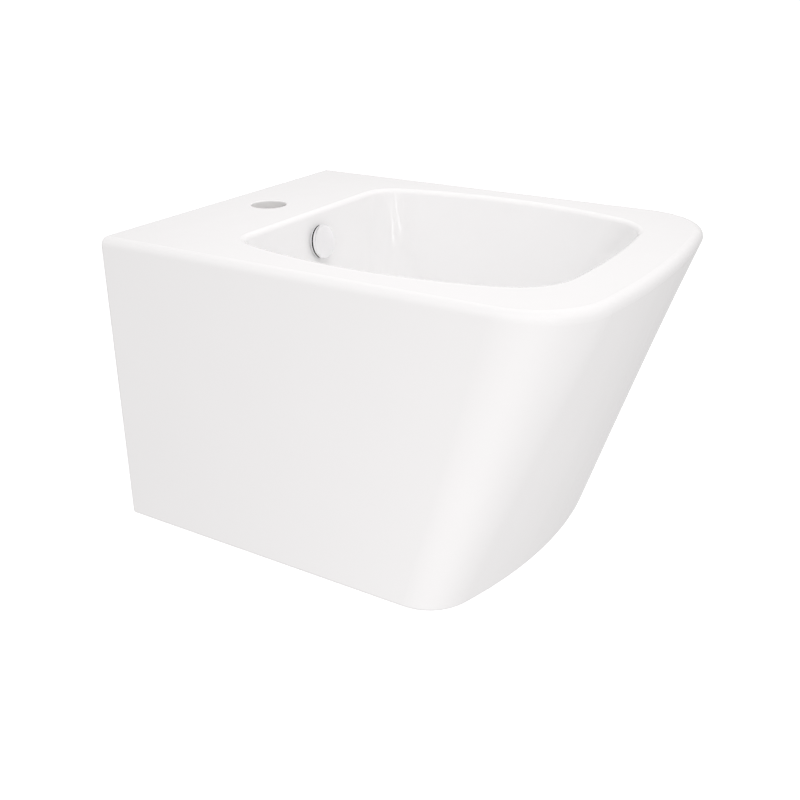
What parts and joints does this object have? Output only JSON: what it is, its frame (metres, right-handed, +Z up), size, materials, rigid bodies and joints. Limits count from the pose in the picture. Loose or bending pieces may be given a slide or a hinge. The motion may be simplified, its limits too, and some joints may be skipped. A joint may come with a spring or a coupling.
{
  "type": "wall-hung bidet",
  "caption": "White glazed wall-hung bidet: straight-sided wedge with a bowed, sloping front, deep rounded basin, tap hole, chrome overflow cap and push-to-close waste.",
  "frame": {"origin": "on the wall plane, half way between the two wall-fixing holes", "axes": "+Z up, +Y into the wall, the bidet stands out of the wall towards -Y, X across it"},
  "size_m": [0.36, 0.4652, 0.283],
  "materials": {
    "ceramic": "glossy white glaze",
    "chrome": "polished chrome plate",
    "rubber": "matt black moulded rubber",
    "nylon": "natural moulded nylon",
    "brass": "turned brass",
    "steel": "zinc-plated steel"
  },
  "bodies": {
    "bidet": {"ceramic_body": "ceramic", "overflow_seal": "rubber", "overflow_ring": "chrome", "overflow_cap": "chrome", "flange_gasket": "rubber", "waste_body": "chrome", "lower_gasket": "rubber", "slip_washer": "nylon", "back_nut": "brass", "cartridge_housing": "nylon", "cartridge_guide": "nylon", "plug_spring": "steel", "fixing_sleeves": "nylon", "fixing_washers": "steel", "fixing_nuts": "steel"},
    "plug": {"plug_cap": "chrome", "plug_seal": "rubber", "plug_stem": "brass"}
  },
  "joints": [
    {"name": "plug_travel", "type": "slide", "parent": "bidet", "child": "plug", "axis": [0, 0, 1], "range_m": [-0.008, 0], "stiffness_N_per_m": 300, "springref_m": 0.015, "deforming": ["plug_spring"]}
  ]
}
